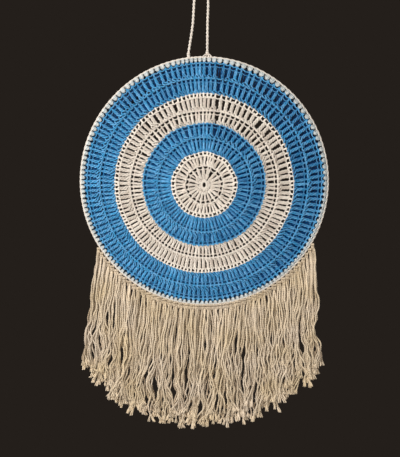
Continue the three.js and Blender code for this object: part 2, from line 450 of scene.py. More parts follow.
class Nodes:
    """A material's node tree with short ways to add and join nodes."""

    def __init__(self, name):
        self.material = bpy.data.materials.new(name)
        self.material.use_nodes = True
        self.tree = self.material.node_tree
        self.shader = self.tree.nodes["Principled BSDF"]

    def add(self, kind, **settings):
        node = self.tree.nodes.new(kind)
        for key, value in settings.items():
            setattr(node, key, value)
        return node

    def link(self, source, target):
        self.tree.links.new(source, target)

    def math(self, operation, *values):
        node = self.add("ShaderNodeMath", operation=operation)
        for socket, value in zip(node.inputs, values):
            if isinstance(value, (int, float)):
                socket.default_value = value
            else:
                self.link(value, socket)
        return node.outputs[0]

    def stretched(self, vector, scale):
        node = self.add("ShaderNodeMapping")
        node.inputs["Scale"].default_value = scale
        self.link(vector, node.inputs["Vector"])
        return node.outputs["Vector"]

    def noise(self, vector, scale=1.0, detail=2.0):
        node = self.add("ShaderNodeTexNoise")
        node.inputs["Scale"].default_value = scale
        node.inputs["Detail"].default_value = detail
        self.link(vector, node.inputs["Vector"])
        return node.outputs["Fac"]

    def limit(self, value, from_low, from_high, to_low, to_high):
        """Maps one range to another and holds the value within it."""
        node = self.add("ShaderNodeMapRange")
        for name, number in zip(("From Min", "From Max", "To Min", "To Max"),
                                (from_low, from_high, to_low, to_high)):
            node.inputs[name].default_value = number
        self.link(value, node.inputs["Value"])
        return node.outputs["Result"]

    def spread(self, value, low, high):
        """Maps the range where noise mostly lies to low to high."""
        return self.limit(value, *NOISE_RANGE, low, high)

    def mix(self, share, first, second):
        """A colour between two, each a plain colour or another node's."""
        node = self.add("ShaderNodeMix", data_type="RGBA")
        self.link(share, node.inputs["Factor"])
        # The colours of a mix node are its inputs 6 and 7 and its output 2
        for socket, colour in zip((node.inputs[6], node.inputs[7]), (first, second)):
            if isinstance(colour, tuple):
                socket.default_value = colour
            else:
                self.link(colour, socket)
        return node.outputs[2]


def yarn_brightness(nodes, place, strand, fibres):
    """A yarn's tone, varied by its place, its fibres, and painted shade in its ply creases."""
    mottle = nodes.noise(place, MOTTLE_SCALE)
    across = nodes.add("ShaderNodeSeparateXYZ")
    nodes.link(strand, across.inputs[0])
    ply = nodes.math("COSINE", nodes.math("MULTIPLY", across.outputs["Y"], FULL_TURN * PLIES))
    tone = nodes.add("ShaderNodeAttribute", attribute_name="tone").outputs["Fac"]
    bright = nodes.math("MULTIPLY", tone, nodes.spread(mottle, *MOTTLE_TONES))
    bright = nodes.math("MULTIPLY", bright, nodes.spread(fibres, *FIBRE_TONES))
    # Painted shade in the creases between plies
    plied = nodes.math("MULTIPLY_ADD", ply, PLY_CREASE_SHADE, PLY_CREASE_MIDDLE)
    return nodes.math("MULTIPLY", bright, plied)


def yarn_material(name, colour, shade, deep, sheen=COTTON_SHEEN, gloss=COTTON_GLOSS,
                  patch_scale=PATCH_SCALE):
    """Cotton yarn of two mottled tones. A low tone is painted shade, which turns it towards a deep
    colour, as between plies and at the back; a high tone is painted light.
    """
    nodes = Nodes(name)
    place = nodes.add("ShaderNodeTexCoord").outputs["Object"]
    strand = nodes.add("ShaderNodeUVMap", uv_map="yarn").outputs["UV"]
    fibres = nodes.noise(nodes.stretched(strand, FIBRE_STRETCH), detail=FIBRE_DETAIL)
    patches = nodes.noise(place, patch_scale, PATCH_DETAIL)
    bright = yarn_brightness(nodes, place, strand, fibres)
    mottled = nodes.mix(nodes.spread(patches, 0.0, 1.0), linear(colour), linear(shade))
    # Painted shade: a low tone turns the yarn towards its deep colour and darkens it; a high tone
    # is painted light
    fresh = nodes.mix(nodes.limit(bright, DEEP_SHADE_BELOW, 1.0, 0.0, 1.0), linear(deep), mottled)
    light = nodes.limit(bright, 1.0, BRIGHTEST, 1.0, BRIGHTEST)
    shaded = nodes.limit(bright, 0.0, DEEP_SHADE_BELOW, 0.0, 1.0)
    tint = nodes.add("ShaderNodeVectorMath", operation="SCALE")
    nodes.link(fresh, tint.inputs[0])
    nodes.link(nodes.math("MULTIPLY", light, shaded), tint.inputs["Scale"])
    nodes.link(tint.outputs[0], nodes.shader.inputs["Base Color"])
    bump = nodes.add("ShaderNodeBump")
    bump.inputs["Strength"].default_value = BUMP_STRENGTH
    bump.inputs["Distance"].default_value = BUMP_DISTANCE * MM
    nodes.link(fibres, bump.inputs["Height"])
    nodes.link(bump.outputs["Normal"], nodes.shader.inputs["Normal"])
    nodes.shader.inputs["Roughness"].default_value = YARN_ROUGHNESS
    nodes.shader.inputs["Specular IOR Level"].default_value = gloss
    nodes.shader.inputs["Sheen Weight"].default_value = sheen
    nodes.shader.inputs["Sheen Roughness"].default_value = SHEEN_ROUGHNESS
    return nodes.material


def wire_material():
    """Drawn steel wire with fine marks along it."""
    nodes = Nodes("hoop_steel")
    strand = nodes.add("ShaderNodeUVMap", uv_map="yarn").outputs["UV"]
    marks = nodes.noise(nodes.stretched(strand, MARK_STRETCH), detail=MARK_DETAIL)
    tint = nodes.add("ShaderNodeVectorMath", operation="SCALE")
    tint.inputs[0].default_value = linear(STEEL)[:3]
    nodes.link(nodes.spread(marks, *MARK_TONES), tint.inputs["Scale"])
    nodes.link(tint.outputs[0], nodes.shader.inputs["Base Color"])
    nodes.link(nodes.spread(marks, *MARK_ROUGHNESS), nodes.shader.inputs["Roughness"])
    nodes.shader.inputs["Metallic"].default_value = 1.0
    return nodes.material


# Yarn geometry

def tube_faces(strands, points, sides, closed):
    """The faces along all tubes, and the caps at the ends of open ones, as vertex numbers."""
    index = np.arange(strands * points * sides).reshape(strands, points, sides)
    here = index if closed else index[:, :-1]
    after = np.roll(index, -1, axis=1) if closed else index[:, 1:]
    quads = np.stack([here, after, np.roll(after, -1, axis=2), np.roll(here, -1, axis=2)],
                     axis=-1)
    caps = np.zeros((0, sides), int)
    if not closed:
        caps = np.concatenate([index[:, 0], index[:, -1, ::-1]])
    return quads.reshape(-1, 4), caps


def tube_corners(run, steps, lay, rows, sides):
    """The UV of every face's corners: along the yarn, from a random start, and round it."""
    strands = len(run)
    start = (run + UV_SHIFT * rng.random((strands, 1))) / UV_LENGTH
    last = np.full((strands, 1), LAST_STEP_SHARE * lay)
    end = start + np.concatenate([steps, last], axis=1) / UV_LENGTH
    u_low = np.broadcast_to(start[:, :rows, None], (strands, rows, sides))
    u_high = np.broadcast_to(end[:, :rows, None], (strands, rows, sides))
    v_low = np.broadcast_to(np.arange(sides) / sides, u_low.shape)
    v_high = v_low + 1 / sides
    corners = np.stack([
        np.stack([u_low, v_low], -1), np.stack([u_high, v_low], -1),
        np.stack([u_high, v_high], -1), np.stack([u_low, v_high], -1)], axis=-2)
    return corners.reshape(-1, 2)


def tubes(paths, radius, facing, lay=YARN_LAY, sides=YARN_SIDES, depth=PLY_DEPTH,
          closed=False, tone=None):
    """Twisted plied yarn along every path at once; paths is strands x points x 3."""
    paths = np.asarray(paths, float)
    strands, points, _ = paths.shape
    if closed:
        along = unit(np.roll(paths, -1, axis=1) - np.roll(paths, 1, axis=1))
    else:
        along = unit(np.gradient(paths, axis=1))
    side = unit(np.cross(along, np.broadcast_to(facing, paths.shape)))
    front = np.cross(side, along)
    steps = np.linalg.norm(np.diff(paths, axis=1), axis=2)
    run = np.concatenate([np.zeros((strands, 1)), np.cumsum(steps, axis=1)], axis=1)
    turns = run / lay
    if closed:
        whole = run[:, -1:] + np.linalg.norm(paths[:, :1] - paths[:, -1:], axis=2)
        turns = run / whole * np.round(whole / lay * PLIES) / PLIES
    spokes = np.arange(sides) * FULL_TURN / sides
    angle = spokes + FULL_TURN * turns[..., None]
    reach = np.broadcast_to(radius, (strands, points))[..., None]
    reach = reach * (1 + depth * np.cos(PLIES * spokes))
    verts = (paths[:, :, None]
             + reach[..., None] * np.cos(angle)[..., None] * side[:, :, None]
             + reach[..., None] * np.sin(angle)[..., None] * front[:, :, None])
    if tone is None:
        tone = 1 + TONE_SPREAD * rng.standard_normal((strands, 1))
    tones = np.broadcast_to(np.asarray(tone)[..., None], (strands, points, sides))
    quads, caps = tube_faces(strands, points, sides, closed)
    corners = tube_corners(run, steps, lay, points if closed else points - 1, sides)
    return {"verts": verts.reshape(-1, 3), "quads": quads, "caps": caps,
            "corners": corners, "tones": tones.reshape(-1)}


def yarn_mesh(name, parts):
    """One mesh of many tubes, with their UV and tones."""
    loops, sizes, corners = [], [], []
    first = 0
    for part in parts:
        for faces in (part["quads"], part["caps"]):
            loops.append(faces.reshape(-1) + first)
            sizes.append(np.full(len(faces), faces.shape[1]))
        corners.append(part["corners"])
        corners.append(np.zeros((part["caps"].size, 2)))
        first += len(part["verts"])
    loops = np.concatenate(loops).astype(np.int32)
    sizes = np.concatenate(sizes)
    mesh = bpy.data.meshes.new(name)
    mesh.vertices.add(first)
    verts = np.concatenate([part["verts"] for part in parts]) * MM
    mesh.vertices.foreach_set("co", verts.astype(np.float32).ravel())
    mesh.loops.add(len(loops))
    mesh.loops.foreach_set("vertex_index", loops)
    mesh.polygons.add(len(sizes))
    starts = np.concatenate([[0], np.cumsum(sizes)[:-1]]).astype(np.int32)
    mesh.polygons.foreach_set("loop_start", starts)
    mesh.polygons.foreach_set("use_smooth", np.ones(len(sizes), bool))
    uv = mesh.uv_layers.new(name="yarn")
    uv.data.foreach_set("uv", np.concatenate(corners).astype(np.float32).ravel())
    tone = mesh.attributes.new("tone", "FLOAT", "POINT")
    tones = np.concatenate([part["tones"] for part in parts])
    tone.data.foreach_set("value", tones.astype(np.float32))
    mesh.update(calc_edges=True)
    return mesh


def yarn_object(name, parts, material, body, nodes):
    """One piece made of many tubes, standing for its nodes and riding on its body."""
    mesh = yarn_mesh(name, parts)
    mesh.materials.append(material)
    made = bpy.data.objects.new(name, mesh)
    bpy.context.collection.objects.link(made)
    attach(made, body)
    if nodes:
        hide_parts(*nodes)
    return made


# Hanging cord

def smooth_route(points, samples):
    """A centripetal curve through the points, at even steps along its length."""
    points = np.asarray(points, float)
    before = 2 * points[0] - points[1]
    after = 2 * points[-1] - points[-2]
    knots = np.vstack([before, points, after])
    dense = []
    for p0, p1, p2, p3 in zip(knots, knots[1:], knots[2:], knots[3:]):
        t1 = np.linalg.norm(p1 - p0) ** 0.5
        t2 = t1 + np.linalg.norm(p2 - p1) ** 0.5
        t3 = t2 + np.linalg.norm(p3 - p2) ** 0.5
        t = np.linspace(t1, t2, ROUTE_STEPS, endpoint=False)[:, None]
        a1 = (t1 - t) / t1 * p0 + t / t1 * p1
        a2 = (t2 - t) / (t2 - t1) * p1 + (t - t1) / (t2 - t1) * p2
        a3 = (t3 - t) / (t3 - t2) * p2 + (t - t2) / (t3 - t2) * p3
        b1 = (t2 - t) / t2 * a1 + t / t2 * a2
        b2 = (t3 - t) / (t3 - t1) * a2 + (t - t1) / (t3 - t1) * a3
        dense.append((t2 - t) / (t2 - t1) * b1 + (t - t1) / (t2 - t1) * b2)
    dense = np.vstack([*dense, points[-1:]])
    run = np.concatenate([[0], np.cumsum(np.linalg.norm(np.diff(dense, axis=0), axis=1))])
    even = np.linspace(0, run[-1], samples)
    return np.stack([np.interp(even, run, dense[:, axis]) for axis in range(3)], axis=1)


def twisted(path, strands, offset, lay):
    """The paths of strands laid round a path that stays in the plane of X and Z."""
    along = unit(np.gradient(path, axis=0))
    depth = np.array(DEPTHWISE, float)
    side = np.cross(along, depth)
    steps = np.linalg.norm(np.diff(path, axis=0), axis=1)
    run = np.concatenate([[0], np.cumsum(steps)])
    made = []
    for strand in range(strands):
        angle = FULL_TURN * (run / lay + strand / strands)[:, None]
        made.append(path + offset * (np.cos(angle) * side + np.sin(angle) * depth))
    return np.array(made)


def make_cord(material):
    """The cord along its route, of strands twisted together."""
    path = smooth_route(CORD_ROUTE, CORD_SAMPLES)
    strands = twisted(path, CORD_STRANDS, CORD_STRAND_OFFSET, CORD_LAY)
    yarn = tubes(strands, CORD_YARN, DEPTHWISE, lay=CORD_YARN_LAY)
    made = yarn_object("hanging_cord_yarn", [yarn], material, "hanging_loop",
                       ["hanging_cord"])


# Rings of stitches

def on_web(radius, angle, depth):
    """A place on the web, which has sunk a little from the hoop's centre."""
    sunk = WEB_DROP * (1 - np.clip(radius / WEB_RADIUS, 0, 1) ** WEB_DROP_POWER)
    place = np.stack(np.broadcast_arrays(
        radius * np.cos(angle), depth, radius * np.sin(angle) - sunk), axis=-1)
    return HOOP_CENTRE + place


def wavy(radius, seed):
    """A ring of this radius that wanders in and out a little, as handwork does."""
    own = np.random.default_rng(seed)
    phase = own.random(RING_WAVES) * FULL_TURN
    counts = own.integers(*RING_WAVE_COUNTS, RING_WAVES)

    def at(angle):
        waves = [np.sin(count * angle + shift) for count, shift in zip(counts, phase)]
        return radius + RING_WOBBLE * sum(waves) / 2
    return at


def ring_angles(count, radius, shift=0.0, jitter=ANGLE_JITTER, push=SEAM_PUSH):
    """The angles of a ring of stitches: sparse at the upper right, crowded beside the seam."""
    angle = np.linspace(0, FULL_TURN, ANGLE_SAMPLES)
    crowding = CROWDING * min(1, radius / EVEN_RADIUS)
    density = 1 - crowding * np.cos(angle - math.radians(SPARSE_DEG))
    seam_angle = math.acos(SEAM_X / max(radius, 2 * SEAM_X))
    crowd_angle = seam_angle + math.radians(CROWD_FROM_SEAM_DEG)
    beside = (angle - crowd_angle) / math.radians(CROWD_HALF_DEG)
    passed = np.cumsum(density + CROWD_AT_SEAM * np.exp(-beside ** 2))
    passed = (passed - passed[0]) / (passed[-1] - passed[0]) * count
    wanted = np.arange(count) + 0.5 + shift + jitter * rng.standard_normal(count)
    from_seam = wanted - np.interp(seam_angle, angle, passed)
    wanted = wanted + push * np.sign(from_seam) * np.exp(-np.abs(from_seam) / SEAM_STITCHES)
    return np.sort(np.interp(wanted % count, passed, angle))


def wrapped(angle):
    """An angle, or a difference of angles, brought to within half a turn of 0."""
    return (angle + math.pi) % FULL_TURN - math.pi


def stitch_gaps(angles):
    """The angle from each stitch of a ring to the next."""
    return (np.roll(angles, -1) - angles) % FULL_TURN


def stitch_rooms(angles):
    """The angle that each stitch of a ring has to itself."""
    gaps = stitch_gaps(angles)
    return (gaps + np.roll(gaps, 1)) / 2


def around(angles, steps):
    """Angles all round a ring, with these many steps from each stitch to the next, and the
    count of stitches passed at each."""
    share = np.arange(steps) / steps
    angle = angles[:, None] + stitch_gaps(angles)[:, None] * share
    passed = np.arange(len(angles))[:, None] + share
    return angle.ravel(), passed.ravel()


# Stitches of the web

def post_halves(rise, room, body, head):
    """Half the width of each post along its rise: run together with its neighbours at the foot,
    then a slit away from them, and narrower at the head."""
    slit = SLIT_LEAST * np.exp(SLIT_SPREAD * rng.standard_normal((len(room), 1)))
    upper = np.minimum(body, room - slit) * np.interp(rise, HEAD_RISE, [1, head])
    closed = np.interp(room, CLOSED_ROOM, CLOSED_RISE)
    closed = closed * np.exp(CLOSED_SPREAD * rng.standard_normal((len(room), 1)))
    foot = np.clip(FOOT_EDGE * (1 - rise / closed), 0, 1)
    return (foot * FOOT_OVERLAP * room + (1 - foot) * upper) / 2


def posts(inner, outer, below, angles, body, head, right_shade):
    """Tall stitches: strands twisted together, from the chain below up to their own chain."""
    count = len(angles)
    apart = wrapped(angles[:, None] - below)
    lean = apart[np.arange(count), np.abs(apart).argmin(axis=1)]
    foot = angles - (1 - FOOT_SHARE) * lean
    rise = np.linspace(0, 1, POST_STEPS)
    low = inner(foot)[:, None]
    high = outer(angles)[:, None]
    radius = low + (high - low) * rise
    angle = foot[:, None] + (angles - foot)[:, None] * rise
    half = post_halves(rise, stitch_rooms(angles)[:, None] * radius, body, head)
    thick = np.minimum(WEB_YARN, POST_YARN_SHARE * half)
    offset = half - thick
    depth = np.interp(rise, POST_DEPTH_RISE, POST_DEPTHS)
    phase = POST_PHASE * rng.random((count, 1))
    made = []
    for strand in range(POST_STRANDS):
        turn = FULL_TURN * (strand / POST_STRANDS + POST_TWIST * rise + phase)
        sideways = offset * np.cos(turn)
        inward = POST_FLATNESS * offset * np.sin(turn)
        made.append(on_web(radius, angle + sideways / radius, depth + inward))
    # Painted shade on the blue posts, deepest at the right
    right_shaded = right_shade * (1 + np.cos(angles[:, None])) / 2
    tone = TONE_SPREAD * rng.standard_normal((count, 1)) - right_shaded
    tone = 1 + np.tile(tone, (POST_STRANDS, 1))
    tone = tone + TONE_SPREAD * rng.standard_normal(tone.shape)
    return tubes(np.concatenate(made), np.tile(thick, (POST_STRANDS, 1)), DEPTHWISE, tone=tone)


def back_strands(inner, top, angles):
    """The strands at the back of the work: in painted shade where they show between the posts,
    deepest towards the upper right, and of full colour on the back."""
    gaps = stitch_gaps(angles)
    between = np.concatenate([angles + share * gaps for share in BACK_SHARES])[:, None]
    rise = np.linspace(BACK_FROM, 1, BACK_STEPS)
    low = inner(between)
    radius = low + (top - low) * rise
    depth = np.interp(rise, BACK_DEPTH_RISE, [BACK_DEPTH_START, BACK_DEPTH])
    # Painted shade, deepest towards the upper right
    tone = BACK_PAINTED_SHADE - BACK_SHADE_RANGE * np.cos(between - math.radians(BACK_DARKEST_DEG))
    tone = tone + TONE_SPREAD * rng.standard_normal(tone.shape)
    made = tubes(on_web(radius, between, depth), BACK_YARN, DEPTHWISE, tone=tone)
    behind = made["verts"][:, 1] > BACK_DEPTH + BACK_SEEN_FROM
    made["tones"] = np.where(behind, 1.0, made["tones"])
    return made


def chain(place, ring, angles, depth, yarn, offset, wave=0.0, tone=1.0):
    """A chain of stitches along a ring: two strands that cross once at every stitch."""
    angle, passed = around(angles, CHAIN_STEPS)
    made = []
    for strand in range(2):
        turn = math.pi * (passed + strand)
        radius = ring(angle) + wave * np.cos(FULL_TURN * passed) + offset * np.cos(turn)
        made.append(place(radius, angle, depth + offset * np.sin(turn)))
    return tubes(made, yarn, DEPTHWISE, closed=True, tone=np.full((2, 1), tone))


def lower_chain(ring, angles, tone):
    """The strand that crosses the slits between a round's posts, just below the chain, darkened
    with painted shade by its tone.
    """
    angle, passed = around(angles, CHAIN_STEPS)
    radius = ring(angle) - LOWER_CHAIN_STEP + CHAIN_WAVE * np.cos(FULL_TURN * passed)
    return tubes([on_web(radius, angle, LOWER_CHAIN_DEPTH)], LOWER_CHAIN_YARN, DEPTHWISE,
                 closed=True, tone=np.full((1, 1), tone))


def short_row(inner, outer, angles, step, tone):
    """Short stitches between two rings, each a pair of strands with a gap to the next."""
    rise = np.linspace(0, 1, SHORT_STEPS)
    low = inner(angles)[:, None]
    high = outer(angles)[:, None]
    radius = low + (high - low) * rise
    depth = np.interp(rise, SHORT_DEPTH_RISE, SHORT_DEPTHS)
    made = [on_web(radius, angles[:, None] + sideways / radius, depth)
            for sideways in (-step, step)]
    tones = tone + TONE_SPREAD * rng.standard_normal((2 * len(angles), 1))
    return tubes(np.concatenate(made), SHORT_YARN, DEPTHWISE, tone=tones)


def short_row_top(ring, angles):
    """The thin strand that joins the tops of the short stitches."""
    angle, passed = around(angles, SHORT_TOP_STEPS)
    radius = ring(angle) + SHORT_TOP_WAVE * np.cos(FULL_TURN * passed)
    return tubes([on_web(radius, angle, SHORT_TOP_DEPTH)], SHORT_TOP_YARN, DEPTHWISE,
                 closed=True, tone=np.full((1, 1), SHORT_PAINTED_LIGHT))


def colour_change(number, edge, ring):
    """The short stitches on top of a cream round, and the ring and angles that the blue round
    after them stands on."""
    angles = ring_angles(SHORT_STITCHES[number], edge)
    # The short stitches and their top strand are brightened with painted light
    row = short_row(ring, wavy(edge + SHORT_ROW_OUTSIDE, number), angles, SHORT_STRAND_STEP,
                    SHORT_PAINTED_LIGHT)
    top = short_row_top(wavy(edge + SHORT_TOP_STEP, number), angles)
    return [row, top], wavy(edge + ROW_AFTER_SHORT, number), angles


def make_centre(material):
    """The starting ring: a rope round the hole and short loops drawn out of it."""
    def hole(angle):
        return HOLE_ROPE * (1 - HOLE_OVAL * np.cos(2 * angle))

    angles = ring_angles(CENTRE_STITCHES, CENTRE_LOOPS)
    rise = np.linspace(0, 1, CENTRE_STEPS)
    radius = HOLE_ROPE + CENTRE_START + (CENTRE_LOOPS - HOLE_ROPE) * rise
    depth = np.interp(rise, CENTRE_DEPTH_RISE, CENTRE_DEPTHS)
    made = [on_web(radius, angles[:, None] + sideways / radius, depth)
            for sideways in (-CENTRE_STRAND_STEP, CENTRE_STRAND_STEP)]
    loops = tubes(np.concatenate(made), CENTRE_YARN, DEPTHWISE)
    rope = chain(on_web, hole, angles, HOLE_ROPE_DEPTH, HOLE_ROPE_YARN, HOLE_ROPE_OFFSET)
    yarn_object("centre_ring_yarn", [rope, loops], material, "hoop",
                ["centre_ring"])


def make_web(cream, blue):
    """The rounds from the centre out, each standing on the ring and stitches of the one below."""
    make_centre(cream)
    inner = wavy(CENTRE_LOOPS, CENTRE_SEED)
    below = ring_angles(STITCHES[0], CENTRE_LOOPS)
    rounds = zip(ROUND_NODES, ROUND_EDGES, STITCHES, POST_WIDTH)
    for number, (node, edge, count, body) in enumerate(rounds, 1):
        is_cream = node.endswith("cream")
        is_last = number == len(STITCHES)
        changes = number in SHORT_STITCHES
        angles = ring_angles(count, edge, ROUND_SHIFT * number % 1)
        top = edge
        if is_last:
            top = WEB_RADIUS - LAST_TOP_INSIDE
        if changes:
            top = edge - SHORT_ROW_INSIDE
        join = WEB_RADIUS + JOIN_TOP_OUTSIDE
        ring = wavy(top, number)
        head = 1 if changes else HEAD_SHARE
        right_shade = 0 if is_cream else BLUE_RIGHT_SHADE
        # The chain's tone is painted light on cream, and the strand below it is in painted shade
        chain_painted_light, lower_painted_shade = CREAM_CHAIN_LIGHT_AND_SHADE if is_cream else BLUE_CHAIN_TONE_AND_SHADE
        parts = [posts(inner, ring, below, angles, body, head, right_shade),
                 chain(on_web, ring, angles, CHAIN_DEPTH, CHAIN_YARN, CHAIN_STRAND_OFFSET,
                       CHAIN_WAVE, chain_painted_light)]
        if not changes:
            parts.append(lower_chain(ring, angles, lower_painted_shade))
        if not is_cream:
            parts.append(back_strands(inner, join if is_last else top, angles))
        if is_last:
            parts.append(short_row(ring, wavy(join, number), angles, JOIN_STRAND_STEP, JOIN_TONE))
        inner, below = ring, angles
        if changes:
            short_parts, inner, below = colour_change(number, edge, ring)
            parts.extend(short_parts)
        yarn_object(f"{node}_yarn", parts, cream if is_cream else blue, "hoop",
                    [node])


# Hoop wire and edging

def on_hoop(radius, angle, depth):
    """A place round the hoop's centre, this deep behind its plane."""
    place = np.stack(np.broadcast_arrays(
        radius * np.cos(angle), depth, radius * np.sin(angle)), axis=-1)
    return HOOP_CENTRE + place


def make_wire(material):
    """The hoop's wire inside the edging, a smooth ring."""
    angle = np.arange(WIRE_STEPS) * FULL_TURN / WIRE_STEPS
    ring = tubes([on_hoop(HOOP_RADIUS, angle, 0)], WIRE_RADIUS * WIRE_FIT, DEPTHWISE, lay=NO_LAY,
                 sides=WIRE_SIDES, depth=0, closed=True)
    yarn_object("hoop_wire_ring", [ring], material, "hoop", ["hoop_wire"])


def squared(wave):
    """A sine or cosine made boxier, so that a loop fills its corners."""
    return np.sign(wave) * np.abs(wave) ** LEG_SQUARENESS


def edging_loops(angles):
    """Short stitches packed over the wire, four loops each, that narrow to points on the web. At
    the top, where the web pulls, they are drawn longer."""
    turn = np.arange(EDGING_STEPS) * FULL_TURN / EDGING_STEPS
    inner = WEB_RADIUS + LEG_INNER - LEG_STRETCH * np.sin(angles)[:, None]
    outer = WEB_RADIUS + LEG_OUTER
    radius = inner + (outer - inner) * (1 + squared(np.cos(turn))) / 2
    depth = LEG_DEPTH * squared(np.sin(turn))
    bead = np.interp(radius - inner, BEAD_STEPS, BEAD_NARROWING)
    hole = np.interp(radius - WEB_RADIUS, RIM_HOLE_SPAN, [0, 1])
    room = stitch_rooms(angles)[:, None] * radius
    legs = len(LEG_OFFSETS)
    step = (room * (1 - bead * (1 - hole)) - hole * RIM_HOLE) / legs
    tangent = np.stack([-np.sin(angles), np.zeros(len(angles)), np.cos(angles)], axis=-1)
    made = [on_hoop(radius, angles[:, None] + offset * step / radius, depth)
            for offset in LEG_OFFSETS]
    thick = np.clip(LEG_YARN_SHARE * room / legs, LEG_YARN_LEAST, LEG_YARN_MOST)
    # Painted shade over the right half of the edging
    right_shade = EDGING_RIGHT_SHADE * np.clip(np.cos(angles), 0, 1)
    # Painted light on the middle legs and painted shade on the outer legs, at the creases
    tone = np.repeat(LEG_LIGHT_AND_SHADE, len(angles))[:, None] - np.tile(right_shade, legs)[:, None]
    tone = tone + TONE_SPREAD * rng.standard_normal(tone.shape)
    return tubes(np.concatenate(made), np.tile(thick, (legs, 1)),
                 np.tile(tangent[:, None], (legs, 1, 1)), closed=True, tone=tone)


def make_edging(material, rim_material):
    """The stitches over the wire, and the chain along the rim."""
    def rim_line(angle):
        return WEB_RADIUS + RIM_CHAIN

    angles = ring_angles(EDGING_STITCHES, HOOP_RADIUS, jitter=EDGING_JITTER, push=0)
    loops = edging_loops(angles)
    rim = chain(on_hoop, rim_line, angles, RIM_CHAIN_DEPTH, RIM_YARN, RIM_STRAND_OFFSET)
    yarn_object("edging_yarn", [loops], material, "hoop", ["edging"])
    yarn_object("edging_rim_yarn", [rim], rim_material, "hoop", ["edging"])


# Cord ties

def tie_leg(centre, reach, front):
    """One strap from a tie's knot down the front or the back of the edging."""
    rise = np.linspace(0, 1, TIE_LEG_STEPS)
    x = centre[0] + reach * rise
    wire_z = HOOP_CENTRE[2] + np.sqrt(HOOP_RADIUS ** 2 - (x - HOOP_CENTRE[0]) ** 2)
    lean = rise ** 2 * math.radians(TIE_LEG_LEAN_DEG) * front
    out = (centre[2] - wire_z) * (1 - rise) + TIE_LEG_OUT * rise
    return np.stack([x, out * np.sin(lean), wire_z + out * np.cos(lean)], axis=1)


def make_tie(side, spread, material):
    """A wound knot at a leg's end, and the straps that go from it round the edging."""
    node = f"cord_tie_{side}"
    low, high = box_mm(node)
    centre = np.array([(low[0] + high[0]) / 2, 0, high[2] - TIE_KNOT_DROP])
    turn = np.arange(TIE_WRAP_STEPS) * FULL_TURN / TIE_WRAP_STEPS
    wraps = [centre + np.stack([TIE_WRAP_RADIUS * np.cos(turn), TIE_WRAP_RADIUS * np.sin(turn),
                                np.full(TIE_WRAP_STEPS, lift)], axis=1)
             for lift in TIE_WRAP_LIFTS]
    knot = tubes(wraps, TIE_WRAP_YARN, UPWARD, closed=True)
    legs = [tie_leg(centre, share * spread, front)
            for share in TIE_LEG_SHARES for front in (-1, 1)]
    straps = tubes(legs, TIE_LEG_YARN, TIE_LEG_FACING)
    yarn_object(f"{node}_yarn", [knot, straps], material, "hanging_loop", [node])


# Fringe

def drift(across, reach):
    """How far the fringe at this place sways sideways; neighbours sway together."""
    grow = np.clip(reach / DRIFT_LENGTH, 0, 1)
    waves = sum(height * np.sin(FULL_TURN * (across / width + reach / length) + phase)
                for height, width, length, phase in DRIFT_WAVES)
    beside = across - PARTING_X
    parting = np.tanh(beside / PARTING_EDGE) * np.exp(-np.abs(beside) / PARTING_WIDTH)
    along = (reach - PARTING_REACH) / PARTING_LENGTH
    return grow * waves + PARTING_HEIGHT * parting * np.exp(-along ** 2)


def kinks(waves):
    """Random kinks near to the given waves, each a length, a height and a phase."""
    return [(length * rng.uniform(*KINK_LENGTHS), height * rng.uniform(*KINK_HEIGHTS), rng.random())
            for length, height in waves]


def bent(reach, bends):
    """How far yarn with these kinks strays sideways along its reach."""
    return sum(height * np.sin(FULL_TURN * (reach / length + phase))
               for length, height, phase in bends)


def strand_path(knot, lane, layer, bunch, fan, shared, length, points):
    """One strand of a tassel, from its knot down to where its end frays. The strands of a tassel
    share its larger kinks."""
    across = knot[0] - HOOP_CENTRE[0]
    to_right = max(0, across / HOOP_RADIUS)
    reach = np.linspace(0, length, points)
    spread = np.interp(reach, SPREAD_REACH, [bunch, 1, 1, fan])
    settle = np.clip(reach / SETTLE_LENGTH, *SETTLE_RANGE)
    near_end = np.clip((reach - length + KICK_LENGTH) / KICK_LENGTH, 0, 1)
    kick = rng.normal(0, KICK) * near_end ** 2
    bulge = RIGHT_BULGE * to_right ** RIGHT_BULGE_POWER
    x = lane * spread + (across * SPLAY + LEAN) * reach / LEAN_LENGTH
    x = x + drift(across, reach) - drift(across, np.zeros(1))
    x = x + bulge * (1 - np.exp(-reach / RIGHT_BULGE_LENGTH))
    x = x + settle * bent(reach, kinks(STRAND_KINKS)) + kick
    x = x + np.clip((reach - SHARED_FROM) / SHARED_LENGTH, 0, SHARED_MOST) * bent(reach, shared)
    y = layer * spread + settle * bent(reach, kinks(DEPTH_KINKS))
    return knot + np.stack([x, y, -reach], axis=1)


def fray(path):
    """The plies at a strand's cut end, opened out like a small brush."""
    tip, back = path[-1], path[-FRAY_AIM_POINTS]
    along = (tip - back) / np.linalg.norm(tip - back)
    run = np.linspace(FRAY_START, FRAY_LENGTH * rng.uniform(*FRAY_SHARES), FRAY_STEPS)
    out = np.clip(run, 0, None)
    plies = []
    for ply in range(FRAY_PLIES):
        turn = FULL_TURN * (ply + rng.random()) / FRAY_PLIES
        flare = rng.uniform(*FRAY_FLARE) * out + FRAY_WIDTH
        x = flare * math.cos(turn) + FRAY_WAVE * np.sin(run / FRAY_WAVE_LENGTH + turn)
        y = flare * math.sin(turn)
        aside = np.stack([x, y, np.zeros(FRAY_STEPS)], axis=1)
        plies.append(tip + run[:, None] * along + aside)
    return np.array(plies)


